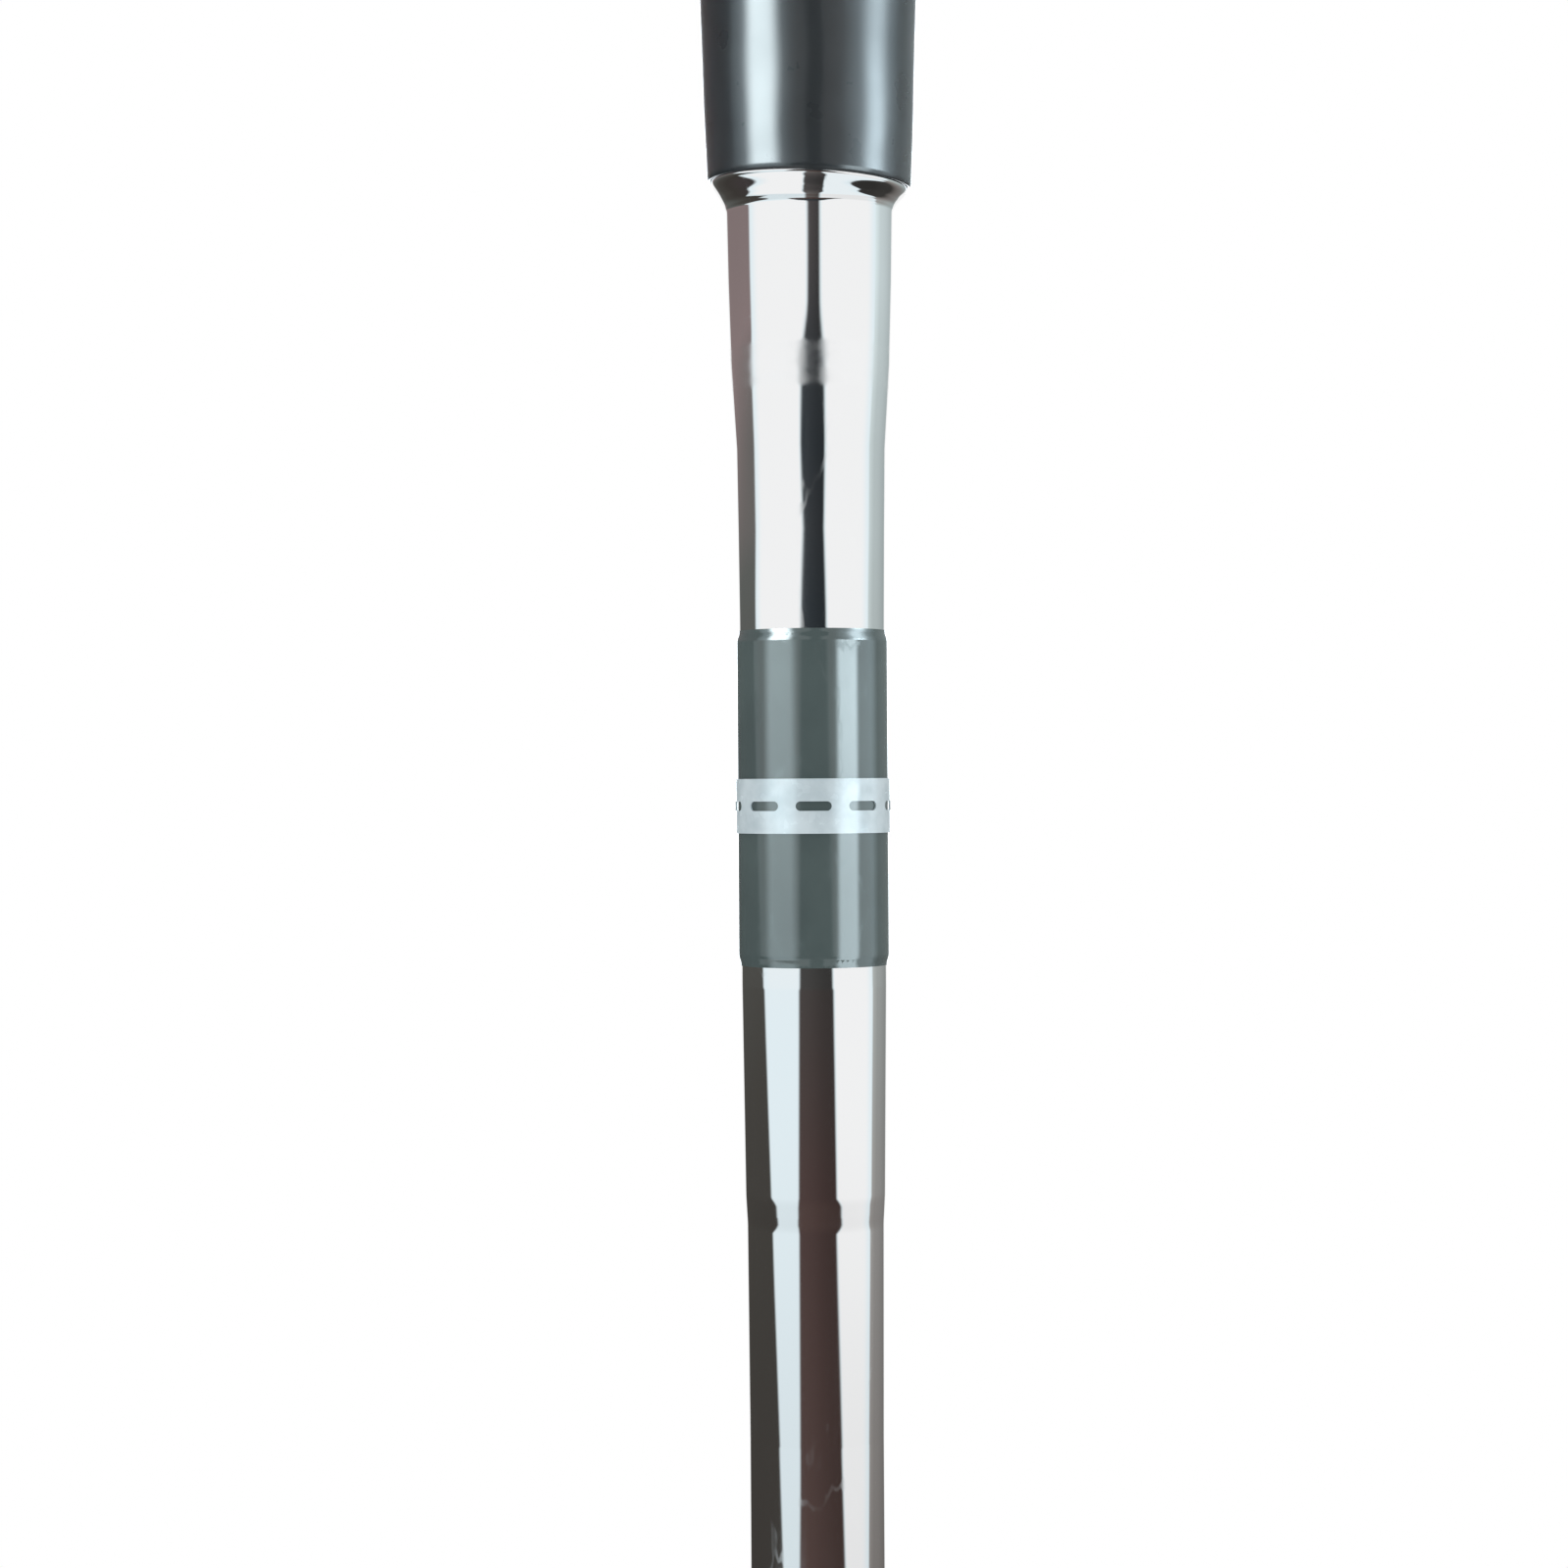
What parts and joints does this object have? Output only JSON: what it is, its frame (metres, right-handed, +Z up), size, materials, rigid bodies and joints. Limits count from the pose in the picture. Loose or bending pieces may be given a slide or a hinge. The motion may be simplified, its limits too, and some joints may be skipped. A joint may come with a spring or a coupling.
{
  "type": "telescopic white cane",
  "caption": "Long mobility cane: rubber-gripped bright stepped handle tube, telescoping twist-lock sections in reflective film and a rolling nylon tip.",
  "frame": {"origin": "lowest point of the rolling tip, on the cane's axis, with the cane drawn out to full length", "axes": "+Z up along the cane from the tip to the grip; -Y is the thumb flat's side; X across"},
  "size_m": [0.0268, 0.0268, 1.25],
  "materials": {
    "plated_steel": "bright plated, mirror polish with fine wear",
    "grip_rubber": "dark moulded rubber, semi-gloss at the mouth",
    "adhesive_tape": "thin double-sided cloth tape",
    "cap_plastic": "fine matt texture",
    "bumper_foam": "closed-cell foam",
    "marker_grey": "smooth satin shrink sleeve",
    "marker_pale": "pale satin band",
    "lock_plastic": "dark nylon, light moulded texture",
    "collet_acetal": "natural acetal",
    "seal_rubber": "smooth rubber",
    "section_alloy": "drawn, anodised",
    "film_white": "white retroreflective film",
    "film_red": "red retroreflective film",
    "small_steel": "turned and ground steel",
    "roller_nylon": "natural white nylon, scuffed"
  },
  "bodies": {
    "handle": {"handle_tube": "plated_steel", "grip": "grip_rubber", "grip_tape": "adhesive_tape", "grip_cap": "cap_plastic", "cap_pin": "small_steel", "loop_eyelet": "plated_steel", "collapse_bumper": "bumper_foam", "marker_sleeve": "marker_grey", "marker_ring": "marker_pale", "lock_sleeve_1": "lock_plastic", "lock_collet_1": "collet_acetal", "wiper_ring_1": "seal_rubber"},
    "lock_nut_1": {"lock_nut_1": "lock_plastic"},
    "section_2": {"section_2_tube": "section_alloy", "section_2_bush": "collet_acetal", "section_2_stop_ring": "collet_acetal", "section_2_film": "film_white", "lock_sleeve_2": "lock_plastic", "lock_collet_2": "collet_acetal", "wiper_ring_2": "seal_rubber"},
    "lock_nut_2": {"lock_nut_2": "lock_plastic"},
    "section_3": {"section_3_tube": "section_alloy", "section_3_bush": "collet_acetal", "section_3_stop_ring": "collet_acetal", "section_3_film": "film_white", "lock_sleeve_3": "lock_plastic", "lock_collet_3": "collet_acetal", "wiper_ring_3": "seal_rubber"},
    "lock_nut_3": {"lock_nut_3": "lock_plastic"},
    "section_4": {"section_4_tube": "section_alloy", "section_4_bush": "collet_acetal", "section_4_stop_ring": "collet_acetal", "section_4_film": "film_red", "tip_adapter": "section_alloy", "bearing_inner_races": "small_steel", "spacer_sleeve": "small_steel", "spindle_clip": "small_steel"},
    "roller": {"tip_roller": "roller_nylon", "bearing_outer_races": "small_steel", "tip_seal": "seal_rubber"},
    "ball_cage": {"ball_cages": "small_steel", "bearing_balls": "small_steel"}
  },
  "joints": [
    {"name": "lock_nut_1_turn", "type": "hinge", "parent": "handle", "child": "lock_nut_1", "pos_m": [0, 0, 0.801], "axis": [0, 0, 1], "range_deg": [0, 150]},
    {"name": "section_2_slide", "type": "slide", "parent": "handle", "child": "section_2", "axis": [0, 0, 1], "range_m": [0, 0.22]},
    {"name": "lock_nut_2_turn", "type": "hinge", "parent": "section_2", "child": "lock_nut_2", "pos_m": [0, 0, 0.546], "axis": [0, 0, 1], "range_deg": [0, 150]},
    {"name": "section_3_slide", "type": "slide", "parent": "section_2", "child": "section_3", "axis": [0, 0, 1], "range_m": [0, 0.22]},
    {"name": "lock_nut_3_turn", "type": "hinge", "parent": "section_3", "child": "lock_nut_3", "pos_m": [0, 0, 0.291], "axis": [0, 0, 1], "range_deg": [0, 150]},
    {"name": "section_4_slide", "type": "slide", "parent": "section_3", "child": "section_4", "axis": [0, 0, 1], "range_m": [0, 0.22]},
    {"name": "roller_spin", "type": "hinge", "parent": "section_4", "child": "roller", "pos_m": [0, 0, 0.02], "axis": [0, 0, 1], "continuous": true},
    {"name": "ball_cage_spin", "type": "hinge", "parent": "section_4", "child": "ball_cage", "pos_m": [0, 0, 0.02], "axis": [0, 0, 1], "continuous": true}
  ],
  "couplings": [
    {"joint": "ball_cage_spin", "follows": "roller_spin", "ratio": 0.6263}
  ]
}
